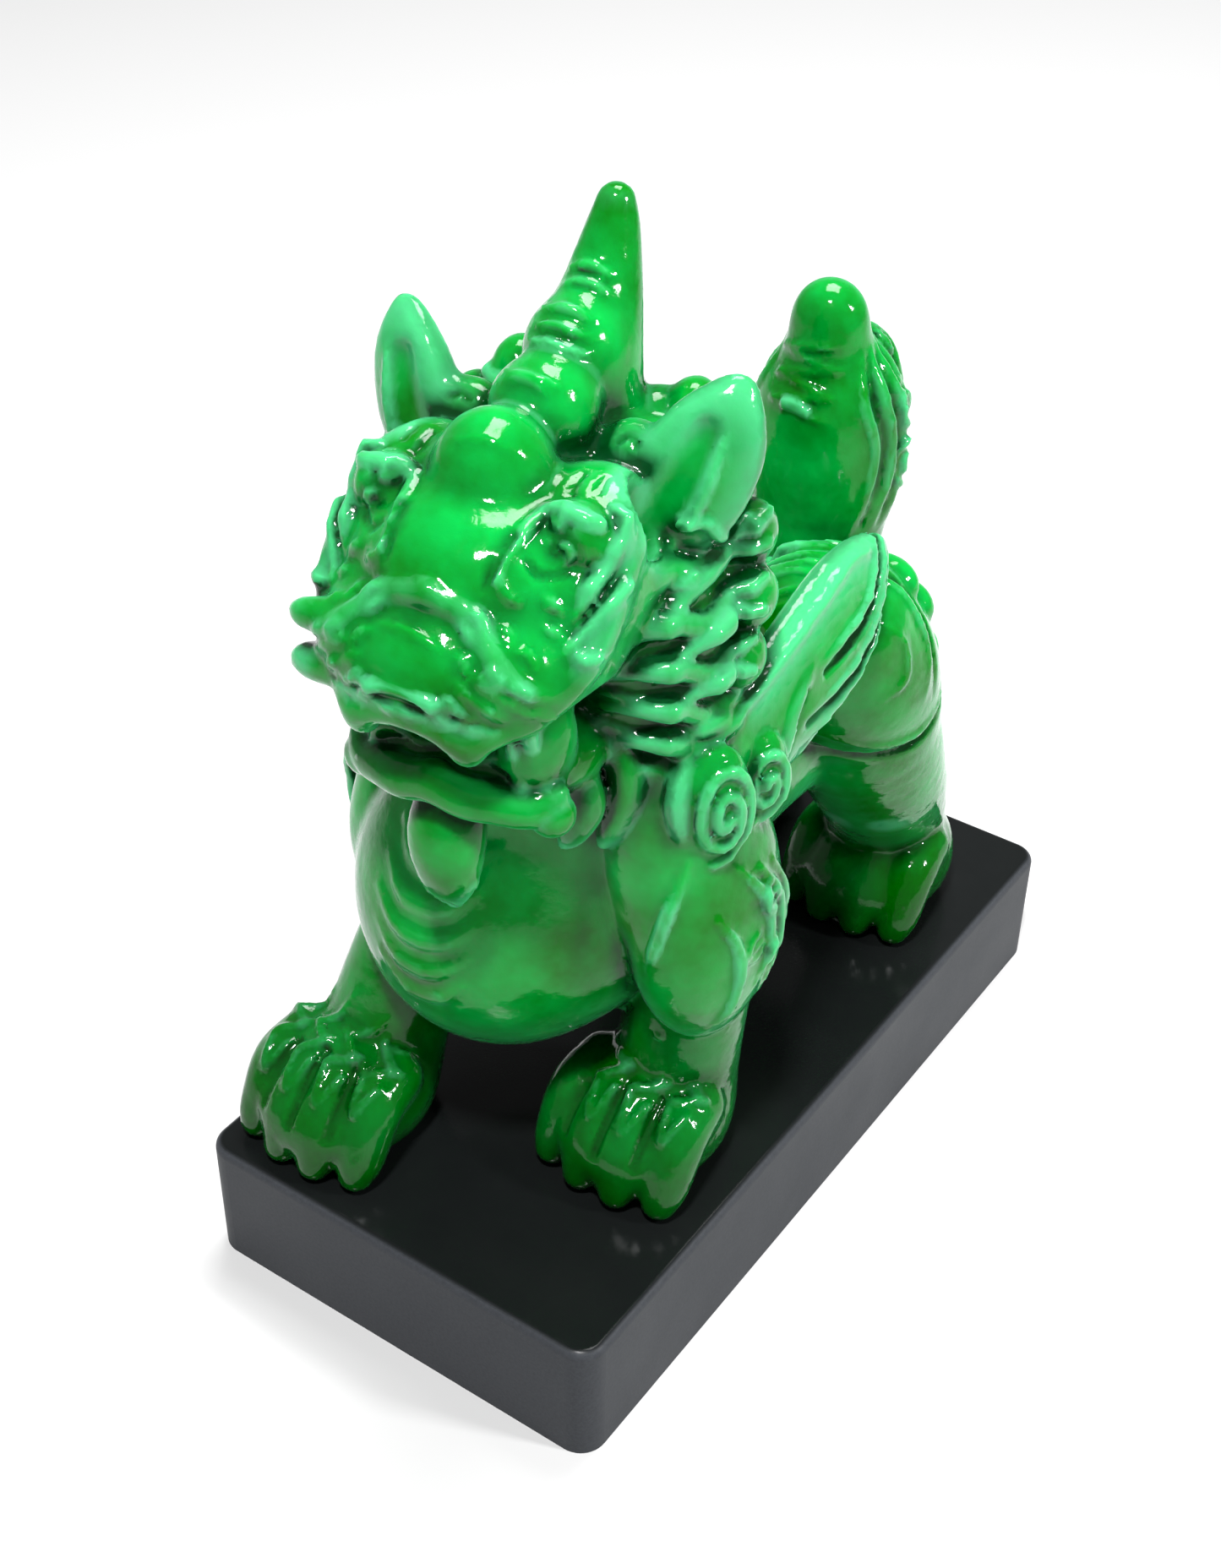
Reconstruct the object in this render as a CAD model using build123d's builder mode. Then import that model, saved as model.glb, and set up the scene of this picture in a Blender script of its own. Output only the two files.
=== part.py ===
from build123d import *
import os
from math import asin, cos, pi, radians, sin

# Guardian beast statuette: a horned, winged foo dog cast in one piece of green resin, walking,
# with its right forepaw ahead, and held by four dabs of adhesive on a black block.
# Millimetres. The origin is the centre of the block's underside, +Z up. The beast faces -Y,
# and +X is its own left side. Heights of the casting are measured up from its soles.

os.makedirs("parts", exist_ok=True)

# Block
base_length = 100.0
base_width = 51.6
base_height = 15.7
base_corner_radius = 3.0
base_edge_radius = 1.0

# Adhesive dabs, which stop short of each paw's edge all round
glue_height = 0.4
glue_inset = 1.5

# Paws: each one's middle stands this far in from the block's end and side
paw_length = 20.0
paw_width = 15.0
paw_height = 12.0
toe_radius = 2.7
toe_count = 4
toe_spread = 2.0
toe_step_back = 3.0
right_fore_inset = 12.5
right_fore_side = 10.8
left_fore_inset = 28.0
left_fore_side = 12.3
left_hind_inset = 19.0
right_hind_inset = 13.0
hind_side = 13.8

# Trunk and legs
trunk_radius = 13.5
trunk_height = 32.5
trunk_back = 24.0
chest_radius = 19.0
chest_height = 30.0
chest_forward = 23.0
neck_radius = 15.5
neck_height = 60.0
haunch_radius = 10.5
haunch_height = 36.0
haunch_back = 27.0
shoulder_radius = 8.5
shoulder_height = 28.0
shin_radius = 6.6

# Head, turned a little to the beast's left
head_turn = 7.5
head_back = 10.0
skull_radius = 14.5
skull_height = 69.5
muzzle_radius = 11.0
jaw_radius = 9.5
horn_radius = 5.4
horn_tip_radius = 1.8
horn_height = 102.3
ear_length = 17.0
ear_width = 8.5
ear_thickness = 4.2
mane_lobe_count = 8
mane_lobe_radius = 3.9

# Tail and wings
tail_radius = 8.4
tail_height = 78.5
tail_back = 33.0
wing_length = 37.0
wing_width = 13.0
wing_thickness = 3.2
wing_side = 22.6
wing_height = 50.0
feather_count = 3
feather_step = 0.7
volute_radius = 3.1

sole = base_height + glue_height


def place(side, forward, up):
    """A point of the beast: to its left, ahead of the block's middle, and up from its soles."""
    return Vector(side, -forward, sole + up)


def head_place(side, forward, up):
    """A point of the turned head, ahead of the axis that it is turned about."""
    turn = radians(head_turn)
    return place(
        side * cos(turn) + forward * sin(turn),
        forward * cos(turn) - side * sin(turn) + head_back,
        up,
    )


def profile_plane(start, end):
    """The plane to draw a turned profile on: its local Y runs from start to end."""
    run = end - start
    across = Plane(origin=start, z_dir=run).x_dir
    return Plane(origin=start, x_dir=across, z_dir=across.cross(run))


def ball(centre, radius):
    """A round lump."""
    with BuildPart(Plane(origin=centre), mode=Mode.PRIVATE) as lump:
        Sphere(radius)
    return lump.part


def limb(start, end, start_radius, end_radius):
    """A tapered limb between two points, with a round end about each."""
    length = (end - start).length
    lean = asin((start_radius - end_radius) / length)

    def on_end(middle, radius, angle):
        return (radius * cos(angle), middle + radius * sin(angle))

    with BuildPart(mode=Mode.PRIVATE) as member:
        with BuildSketch(profile_plane(start, end)):
            with BuildLine():
                near = [on_end(0, start_radius, a) for a in (-pi / 2, (lean - pi / 2) / 2, lean)]
                far = [on_end(length, end_radius, a) for a in (lean, (lean + pi / 2) / 2, pi / 2)]
                ThreePointArc(*near)
                Line(near[-1], far[0])
                ThreePointArc(*far)
                Line(far[-1], near[0])
            make_face()
        revolve(axis=Axis(start, end - start))
    return member.part


def egg(start, end, radius):
    """A plump mass that reaches from one point to another, a little thinner at its far end."""
    run = (end - start).normalized()
    return limb(start + run * radius, end - run * radius * 0.85, radius, radius * 0.85)


def leaf(plane, length, width, thickness):
    """A flat leaf, from its broad root at the plane's origin to a rounded tip along local X."""
    tip = thickness / 2
    with BuildPart(mode=Mode.PRIVATE) as blade:
        with BuildSketch(plane):
            with BuildLine():
                ThreePointArc((0, -width / 4), (length * 0.45, -width / 2), (length - tip, -tip))
                ThreePointArc((length - tip, -tip), (length, 0), (length - tip, tip))
                ThreePointArc((length - tip, tip), (length * 0.45, width / 2), (0, width / 4))
                Line((0, width / 4), (0, -width / 4))
            make_face()
        extrude(amount=thickness / 2, both=True)
    return blade.part


def paw(middle):
    """A broad paw with its toes fanned out in front, over a middle point at the soles."""
    up = Vector(0, 0, paw_height * 0.4)
    back = middle + up + Vector(0, paw_length / 2, 0)
    front = middle + up - Vector(0, paw_length * 0.42, 0)
    masses = [egg(back, front, paw_height * 0.6)]
    for i in range(toe_count):
        fan = (i + 0.5) / toe_count - 0.5
        knuckle = middle + Vector(fan * paw_width * 0.75, -paw_length * 0.12, paw_height * 0.55)
        claw = middle + Vector(
            fan * (paw_width + toe_spread),
            -paw_length / 2 + toe_radius + abs(fan) * toe_step_back,
            toe_radius * 0.6,
        )
        masses.append(limb(knuckle, claw, toe_radius * 1.15, toe_radius))
    return masses


def leg(top, knee, middle, top_radius):
    """A leg down to its paw: upper leg, then the shin into the back of the paw."""
    ankle = middle + Vector(0, paw_length * 0.2, paw_height * 0.5)
    upper = limb(top, knee, top_radius, shin_radius + 0.4)
    shin = limb(knee, ankle, shin_radius, shin_radius * 0.95)
    return [upper, shin]


front_edge = base_length / 2
left_edge = base_width / 2
paw_places = {
    "front_right": place(right_fore_side - left_edge, front_edge - right_fore_inset, 0),
    "front_left": place(left_edge - left_fore_side, front_edge - left_fore_inset, 0),
    "rear_right": place(hind_side - left_edge, right_hind_inset - front_edge, 0),
    "rear_left": place(left_edge - hind_side, left_hind_inset - front_edge, 0),
}

# The casting's masses, gathered and then fused at once
masses = []

# Trunk: barrel, deep chest and the neck under the mane
withers = place(0, 14, trunk_height)
rump = place(0, -trunk_back, trunk_height + 1)
masses.append(limb(withers, rump, trunk_radius + 2, trunk_radius))
masses.append(
    egg(
        place(0, chest_forward - 1, chest_height - chest_radius * 1.05),
        place(0, chest_forward, chest_height + chest_radius * 1.1),
        chest_radius * 0.97,
    )
)
nape = place(0, 19, neck_height)
masses.append(limb(place(0, 15, chest_height + 12), nape, neck_radius, neck_radius))

# Legs and paws
for name, middle in paw_places.items():
    side = 1 if middle.X > 0 else -1
    if name.startswith("front"):
        top = place(side * 13, (chest_forward + -middle.Y) / 2 - 5, shoulder_height)
        knee = Vector((top.X + middle.X) / 2, (top.Y + middle.Y) / 2, sole + paw_height * 1.1)
        masses.append(egg(top + Vector(0, 1, 16), top - Vector(0, 1, 14), shoulder_radius * 1.1))
        masses += leg(top, knee, middle, shoulder_radius * 0.94)
    else:
        top = place(side * 11, -haunch_back, haunch_height - 6)
        knee = Vector(middle.X, (top.Y + middle.Y) / 2 + 4, sole + paw_height * 1.6)
        hip = place(side * 8.5, -haunch_back, haunch_height)
        masses.append(egg(hip + Vector(0, 1, 14), hip - Vector(0, 1, 14), haunch_radius))
        masses += leg(top, knee, middle, shin_radius * 1.3)
    masses += paw(middle)

# Head: skull, muzzle, nose, brows, jaw with its beard, and the tongue-like goatee
masses.append(ball(head_place(0, 12, skull_height), skull_radius))
masses.append(egg(head_place(0, 5, 68), head_place(0, 40, 67), muzzle_radius * 1.15))
masses.append(egg(head_place(-14, 29, 70), head_place(14, 29, 70), muzzle_radius * 0.75))
masses.append(egg(head_place(-12, 24, 57), head_place(12, 24, 57), jaw_radius * 0.8))
masses.append(limb(head_place(0, 29, 56), head_place(0, 31.5, 46), 3.4, 2.0))
masses.append(ball(head_place(0, 22.5, 84), 6))
masses.append(ball(head_place(0, 14.8, 88), 4.4))
for side in (-1, 1):
    masses.append(ball(head_place(side * 10.2, 24, 81.5), 4.8))
    masses.append(egg(head_place(side * 13, 12, 69), head_place(side * 13, 32, 70), 4.5))

# Horn, with a ringed lump in front of its root
horn_top = head_place(0, 0.9, horn_height - horn_tip_radius)
masses.append(limb(head_place(0, 4.5, 84), horn_top, horn_radius, horn_tip_radius))
for ring in range(4):
    masses.append(ball(head_place(0, 10.2 - ring * 1.3, 89 + ring * 2), 4.4 - ring * 0.4))

# Ears: upright leaves that lean outward
for side in (-1, 1):
    root = head_place(side * 11.5, 13, 76)
    tip = head_place(side * 16.6, 9.4, 91)
    rise = tip - root
    outward = head_place(side, 0, 0) - head_place(0, 0, 0)
    face = Plane(origin=root, x_dir=rise, z_dir=rise.cross(outward))
    masses.append(leaf(face, ear_length, ear_width, ear_thickness))

# Mane: a fan of round lobes on each side of the neck
for side in (-1, 1):
    for i in range(mane_lobe_count):
        angle = radians(30 + i * 16)
        lobe = head_place(side * 17 * sin(angle), 3 + i * 0.9, 62 + 15.5 * cos(angle))
        masses.append(ball(lobe, mane_lobe_radius))

# Tail: an upright flame with a second tongue behind
masses.append(egg(place(0, -tail_back, 40), place(0, -tail_back + 2.5, tail_height), tail_radius))
tongue_back = tail_back + 4.5
tongue_top = place(0, 0.5 - tongue_back, tail_height - 5)
masses.append(egg(place(0, -tongue_back, 44), tongue_top, tail_radius * 0.72))

# Wings: feathers swept back from two round volutes on each shoulder
for side in (-1, 1):
    shoulder = place(side * wing_side, 24, wing_height)
    for i in range(feather_count):
        sweep = Vector(-side * 0.13, 1, 0.36 - i * 0.18)
        root = shoulder - Vector(side * feather_step * i, 0, i * 2)
        face = Plane(origin=root, x_dir=sweep, z_dir=sweep.cross(Vector(0, 0, 1)))
        masses.append(leaf(face, wing_length - i * 4, wing_width - i * 1.5, wing_thickness))
    masses.append(egg(shoulder + Vector(0, 0, 5.5), shoulder - Vector(0, 0, 6), volute_radius))
    inner_top = shoulder + Vector(0, 6.5, 6)
    masses.append(egg(inner_top, shoulder + Vector(0, 5.5, -2), volute_radius * 0.8))
    wing_root = place(side * 9, 12, 36)
    masses.append(limb(wing_root, place(side * 18, 8, wing_height - 2), 8, 4.5))

with BuildPart() as figure:
    add(masses)
    split(bisect_by=Plane.XY.offset(sole), keep=Keep.TOP)

with BuildPart() as base:
    with BuildSketch():
        RectangleRounded(base_width, base_length, base_corner_radius)
    extrude(amount=base_height)
    fillet(base.faces().sort_by(Axis.Z)[-1].edges(), base_edge_radius)

figure.part.label = "figure"
export_step(figure.part, "parts/figure.step")
base.part.label = "base"
export_step(base.part, "parts/base.step")

# Adhesive: one dab under each paw, filling the gap between its sole and the block
for name, middle in paw_places.items():
    with BuildPart() as adhesive:
        with BuildSketch(Plane(origin=(middle.X, middle.Y, base_height))):
            Ellipse(paw_width / 2 - glue_inset, paw_length / 2 - glue_inset)
        extrude(amount=glue_height)
    adhesive.part.label = f"adhesive_{name}"
    export_step(adhesive.part, f"parts/adhesive_{name}.step")
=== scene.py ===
import bpy
import numpy as np
from math import cos, pi, radians, sin
from mathutils import Matrix, Vector


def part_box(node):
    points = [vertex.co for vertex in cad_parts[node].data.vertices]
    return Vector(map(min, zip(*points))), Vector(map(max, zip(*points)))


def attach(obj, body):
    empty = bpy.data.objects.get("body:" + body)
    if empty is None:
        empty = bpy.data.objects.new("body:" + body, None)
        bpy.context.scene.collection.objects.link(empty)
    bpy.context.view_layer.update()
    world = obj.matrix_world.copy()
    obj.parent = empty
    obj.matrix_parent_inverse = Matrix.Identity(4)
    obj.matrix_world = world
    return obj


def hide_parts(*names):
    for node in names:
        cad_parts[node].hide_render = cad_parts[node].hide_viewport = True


# A horned, winged guardian beast cast in translucent green resin, on a black block. The casting
# is sculpted here as clay: a distance field on a grid, to which forms are added and from which
# they are carved, and whose skin becomes the mesh. Sculpting is in millimetres and in the
# beast's own directions: (side, forward, up) is to its left, ahead, and up from its soles.
# The block and the dabs of adhesive under the paws are the CAD's own, with better materials.

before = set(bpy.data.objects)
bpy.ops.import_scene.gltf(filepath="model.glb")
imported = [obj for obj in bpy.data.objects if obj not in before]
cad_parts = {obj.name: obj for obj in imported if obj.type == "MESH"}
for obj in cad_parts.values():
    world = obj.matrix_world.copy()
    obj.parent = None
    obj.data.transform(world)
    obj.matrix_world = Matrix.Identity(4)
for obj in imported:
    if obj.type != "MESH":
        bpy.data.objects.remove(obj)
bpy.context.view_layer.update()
MM = 0.001


# ---------------------------------------------------------------- sculpting

def smooth_path(points, steps):
    """A Catmull-Rom curve through points of any number of columns."""
    points = np.array(points, float)
    if len(points) < 3:
        mix = np.linspace(0, 1, steps + 1)[:, None]
        return points[0] * (1 - mix) + points[-1] * mix
    ends = np.vstack([2 * points[0] - points[1], points, 2 * points[-1] - points[-2]])
    curve = []
    for a, b, c, d in zip(ends, ends[1:], ends[2:], ends[3:]):
        for t in np.linspace(0, 1, steps, endpoint=False):
            curve.append(0.5 * (2 * b + (c - a) * t + (2 * a - 5 * b + 4 * c - d) * t**2
                                + (3 * b - a - 3 * c + d) * t**3))
    curve.append(points[-1])
    return np.array(curve)


def turned(tilt=0, roll=0, yaw=0):
    """Rotation by degrees about side (tilt), forward (roll) and up (yaw), in that order."""
    a, b, c = np.radians([tilt, roll, yaw])
    about_side = np.array([[1, 0, 0], [0, cos(a), -sin(a)], [0, sin(a), cos(a)]])
    about_forward = np.array([[cos(b), 0, sin(b)], [0, 1, 0], [-sin(b), 0, cos(b)]])
    about_up = np.array([[cos(c), -sin(c), 0], [sin(c), cos(c), 0], [0, 0, 1]])
    return about_up @ about_forward @ about_side


class Place:
    """A turned and shifted set of axes that forms can be modelled in."""

    def __init__(self, rotation=np.eye(3), origin=(0, 0, 0)):
        self.rotation = rotation
        self.origin = np.array(origin, float)

    def outward(self, points):
        return np.asarray(points, float) @ self.rotation.T + self.origin

    def inward(self, points):
        return (points - self.origin) @ self.rotation


BODY = Place()


class Lump:
    """An ellipsoid."""

    def __init__(self, centre, radii, turn=np.eye(3)):
        self.centre = np.array(centre, float)
        self.radii = np.array(radii, float) * np.ones(3)
        self.turn = turn

    def reach(self):
        half = np.sqrt(((self.turn * self.radii) ** 2).sum(1))
        return self.centre - half, self.centre + half

    def distance(self, points):
        local = (points - self.centre) @ self.turn
        near = np.sqrt(((local / self.radii) ** 2).sum(-1))
        slope = np.sqrt(((local / self.radii**2) ** 2).sum(-1))
        return near * (near - 1) / np.maximum(slope, 1e-6)

    def mirrored(self):
        flip = np.diag([-1.0, 1, 1])
        return Lump(flip @ self.centre, self.radii, flip @ self.turn @ flip)


class Strand:
    """A tapered round rod along a smooth path of (side, forward, up, radius) points. A flat one
    is squashed along a direction to a share of its thickness."""

    def __init__(self, points, flat=None, smooth=True):
        path = smooth_path(points, steps=5) if smooth else np.asarray(points, float)
        self.line, self.radius = path[:, :3], np.maximum(path[:, 3], 0.05)
        self.flat = flat

    def reach(self):
        wide = self.radius[:, None]
        return (self.line - wide).min(0), (self.line + wide).max(0)

    def distance(self, points):
        line, share = self.line, 1.0
        if self.flat is not None:
            along, share = np.array(self.flat[0], float), self.flat[1]
            along = along / np.linalg.norm(along)
            middle = line.mean(0)
            points = points + ((points - middle) @ along)[..., None] * along * (1 / share - 1)
            line = line + ((line - middle) @ along)[:, None] * along * (1 / share - 1)
        nearest = np.full(points.shape[:-1], 1e3)
        for a, b, ra, rb in zip(line, line[1:], self.radius, self.radius[1:]):
            run = b - a
            t = np.clip((points - a) @ run / (run @ run + 1e-9), 0, 1)
            gap = points - a - t[..., None] * run
            nearest = np.minimum(nearest, np.sqrt((gap**2).sum(-1)) - ra - (rb - ra) * t)
        return np.where(nearest < 0, nearest * share, nearest * (1 + share) / 2)

    def mirrored(self):
        flat = self.flat and (np.array(self.flat[0], float) * (-1, 1, 1), self.flat[1])
        return Strand(np.column_stack([self.line * (-1, 1, 1), self.radius]), flat, smooth=False)


class Clay:
    """Signed distances on a grid, negative inside."""

    FAR = 6.0  # the distance held where no form has come near
    MARGIN = 1.5  # how far round a form the grid is worked out
    TRAVEL = 45  # how far a line of sight is followed, either way, to find the skin
    STRIDE = 0.25  # and in what steps
    STOPS = (0, 0.35, 0.75, 1)  # where along a laid line its radii are given

    def __init__(self, low, high, cell):
        self.low, self.cell = np.array(low, float), cell
        count = np.ceil((np.array(high, float) - self.low) / cell).astype(int) + 1
        self.field = np.full(count, self.FAR, np.float32)

    def window(self, low, high, margin):
        """The part of the grid about a box, as slices, and the places of its points."""
        first = np.maximum(np.floor((low - margin - self.low) / self.cell).astype(int), 0)
        last = np.ceil((high + margin - self.low) / self.cell).astype(int) + 1
        last = np.minimum(last, self.field.shape)
        if (last <= first).any():
            return None, None
        axes = [self.low[i] + self.cell * np.arange(first[i], last[i]) for i in range(3)]
        block = tuple(slice(a, b) for a, b in zip(first, last))
        return block, np.stack(np.meshgrid(*axes, indexing="ij"), -1)

    def meet(self, form, blend, place, sign):
        """Joins a form to the clay (sign 1) or cuts it out (-1), rounding the corner between."""
        low, high = form.reach()
        corners = place.outward([[x, y, z] for x in (low[0], high[0])
                                 for y in (low[1], high[1]) for z in (low[2], high[2])])
        block, points = self.window(corners.min(0), corners.max(0), self.MARGIN + blend)
        if block is None:
            return
        other = form.distance(place.inward(points))
        own = self.field[block] * sign
        overlap = np.maximum(blend - np.abs(own - other), 0) / max(blend, 1e-6)
        self.field[block] = sign * (np.minimum(own, other) - overlap**3 * blend / 6)

    def add(self, form, blend=1.0, place=BODY):
        self.meet(form, blend, place, 1)

    def carve(self, form, blend=0.4, place=BODY):
        self.meet(form, blend, place, -1)

    def add_pair(self, form, blend=1.0, place=BODY):
        self.add(form, blend, place)
        self.add(form.mirrored(), blend, place)

    def carve_pair(self, form, blend=0.4, place=BODY):
        self.carve(form, blend, place)
        self.carve(form.mirrored(), blend, place)

    def value(self, points):
        """The field at any points, from the eight grid values about each."""
        at = (points - self.low) / self.cell
        top = np.array(self.field.shape) - 1.001
        at = np.clip(at, 0, top)
        first = np.floor(at).astype(int)
        part = at - first
        total = 0
        for corner in np.ndindex(2, 2, 2):
            weight = np.prod(np.where(corner, part, 1 - part), axis=-1)
            i, j, k = np.moveaxis(first + corner, -1, 0)
            total = total + weight * self.field[i, j, k]
        return total

    def skin_points(self, points, towards, place=BODY, reach=TRAVEL):
        """Points moved to the skin along a direction, and which of them met it. Each starts a
        reach before its own place: a short one stays clear of masses in front of it."""
        towards = np.array(towards, float)
        towards = towards / np.linalg.norm(towards)
        start = np.asarray(points, float)
        steps = np.arange(-reach, self.TRAVEL, self.STRIDE)
        track = start[:, None, :] + steps[None, :, None] * towards
        inside = self.value(place.outward(track)) < 0
        return start + steps[inside.argmax(1)][:, None] * towards, inside.any(1)

    def lay(self, points, towards, radius, place=BODY, rise=0.3, pair=False, carve=False,
            blend=0.5, reach=TRAVEL):
        """A strand laid on the skin, or a groove cut in it, through points seen from one side.
        Radius is one value, or one for each of STOPS. Rise, in radii, is how far the middle of
        a strand stands off the skin; a larger one cuts a groove deeper. Where the line misses
        the skin, or drops from one mass to another behind it, the strand breaks."""
        path = smooth_path(points, steps=4)
        line, met = self.skin_points(path, towards, place, reach)
        t = np.linspace(0, 1, len(line))
        width = np.interp(t, self.STOPS, radius) if np.ndim(radius) else np.full(len(t), radius)
        away = -np.array(towards, float) / np.linalg.norm(towards)
        line = line + away * (width * (0.3 - rise if carve else rise))[:, None]
        steep = 2.5 * np.linalg.norm(np.diff(path, axis=0), axis=1) + 0.6
        joined = met[1:] & met[:-1] & (np.linalg.norm(np.diff(line, axis=0), axis=1) < steep)
        strip = np.column_stack([line, width])
        cuts = np.flatnonzero(~joined) + 1
        for run in np.split(np.arange(len(line)), cuts):
            if len(run) < 3:
                continue
            form = Strand(strip[run], smooth=False)
            for each in (form, form.mirrored()) if pair else (form,):
                (self.carve if carve else self.add)(each, blend, place)

    def skin(self):
        """The skin as points and outward-facing quads, one point for each cell it crosses."""
        inside = self.field < 0
        corners = list(np.ndindex(2, 2, 2))
        size = np.array(inside.shape) - 1
        count = sum(inside[i:size[0] + i, j:size[1] + j, k:size[2] + k].astype(np.int8)
                    for i, j, k in corners)
        crossed = (count > 0) & (count < 8)
        cells = np.argwhere(crossed)
        index = np.full(crossed.shape, -1)
        index[crossed] = np.arange(len(cells))
        value = {c: self.field[tuple((cells + c).T)].astype(float) for c in corners}
        total, hits = np.zeros((len(cells), 3)), np.zeros(len(cells))
        for a in corners:
            for axis in range(3):
                if a[axis]:
                    continue
                b = tuple(v + (i == axis) for i, v in enumerate(a))
                cut = (value[a] < 0) != (value[b] < 0)
                t = np.where(cut, value[a] / np.where(cut, value[a] - value[b], 1), 0)
                point = np.tile(np.array(a, float), (len(cells), 1))
                point[:, axis] += t
                total += np.where(cut[:, None], point, 0)
                hits += cut
        points = (cells + total / hits[:, None]) * self.cell + self.low
        quads = []
        for axis in range(3):
            u, v = (axis + 1) % 3, (axis + 2) % 3
            lower = [slice(1, -1)] * 3
            upper = [slice(1, -1)] * 3
            lower[axis], upper[axis] = slice(0, -1), slice(1, None)
            edges = np.argwhere(inside[tuple(lower)] != inside[tuple(upper)])
            edges = edges + np.array([i != axis for i in range(3)])
            leaving = inside[tuple(edges.T)]
            ring = []
            for du, dv in ((0, 0), (1, 0), (1, 1), (0, 1)):
                cell = edges.copy()
                cell[:, u] -= du
                cell[:, v] -= dv
                ring.append(index[tuple(cell.T)])
            quad = np.stack(ring, 1)
            quad[~leaving] = quad[~leaving][:, ::-1]
            quads.append(quad)
        return points, np.concatenate(quads)


def spiral(start_radius, turns, begin=0.0, end_radius=0.3, spin=1):
    """Points of a flat curl about nought, from its outside to its eye, as (across, up) pairs."""
    points_per_turn = 10
    count = int(turns * points_per_turn) + 1
    points = []
    for i in range(count):
        t = i / (count - 1)
        radius = start_radius * (1 - t) + end_radius * t
        angle = radians(begin) + spin * 2 * pi * turns * t
        points.append((radius * cos(angle), radius * sin(angle)))
    return points


# ---------------------------------------------------------------- the beast's masses

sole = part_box("figure")[0][2] / MM  # height of the soles, where the casting meets its adhesive
HEAD_TURN = 7.5  # degrees to the beast's right
HEAD = Place(turned(yaw=-HEAD_TURN), (0, 10, 0))
PAWS = {  # (side, forward) of the middle of each
    "front_right": (-15, 37.5),
    "front_left": (13.5, 22),
    "rear_right": (-12, -37),
    "rear_left": (12, -31),
}
# Directions in which lines are laid on the skin, and planes clear of it that they start from
FRONT, FROM_LEFT, FROM_TOP, FROM_BEHIND = (0, -1, 0), (-1, 0, 0), (0, 0, -1), (0, 1, 0)
BESIDE = 30
OVER_PAWS = 15


def flank(*points):
    """A line beside the beast, through (forward, up) points, for laying on its flanks."""
    return [(BESIDE, forward, up) for forward, up in points]


def curl(clay, centre, towards, size, turns, begin, radius, place=BODY, **how):
    """A spiral laid on the skin of both sides, in the plane that faces against a direction."""
    towards = np.array(towards, float) / np.linalg.norm(towards)
    across = np.cross(towards, (0, 0, 1))
    upward = np.cross(across, towards)
    flat = spiral(1, turns, begin, end_radius=0.12, spin=-1)
    path = [np.array(centre) + across * x * size[0] + upward * z * size[1] for x, z in flat]
    clay.lay(path, towards, radius, place, pair=True, blend=0.3, **how)


def trunk(clay):
    """Barrel, deep chest, neck and rump."""
    clay.add(Strand([(0, 20, 32, 16), (0, 0, 33, 13.5), (0, -20, 33, 13.5)]), 0)
    clay.add(Lump((-3.2, 22.5, 30.5), (16.2, 17.6, 18.8)), 4)
    clay.add(Strand([(0, 18, 44, 15.5), (0, 20, 60, 14)]), 5)
    hip = Strand([(12.2, -13, 47.5, 9.2), (12.6, -16.5, 42, 10), (12.4, -20.5, 35.5, 9.4)])
    clay.add_pair(hip, 3)
    clay.add(Lump((-15, 23, 33), (7, 9, 12)), 1.5)
    clay.add(Lump((18.0, 19.8, 35), (6.9, 9.8, 16), turned(roll=-4)), 1.2)
    clay.add(Lump((0, -29, 43), (9, 7.5, 10)), 4)


def leg(clay, name):
    """A leg from its shoulder or hip down into the back of its paw."""
    side, forward = PAWS[name]
    out = 1 if side > 0 else -1
    if name.startswith("front"):
        top, across = (17, 16) if out > 0 else (25, -12.5)
        clay.add(Strand([(across * 0.95, top, 24, 6.8),
                         ((across + side) / 2, (top + forward) / 2 - 2, 15, 6.6),
                         (side, forward - 5, 6, 7)]), 1.3)
    else:
        clay.add(Strand([(out * 12, -22, 31, 9.4), (out * 12.4, -26.5, 22, 8.4),
                         (side, forward - 0.5, 13, 7.4), (side, forward - 2, 5, 6.6)]), 2)


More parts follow.
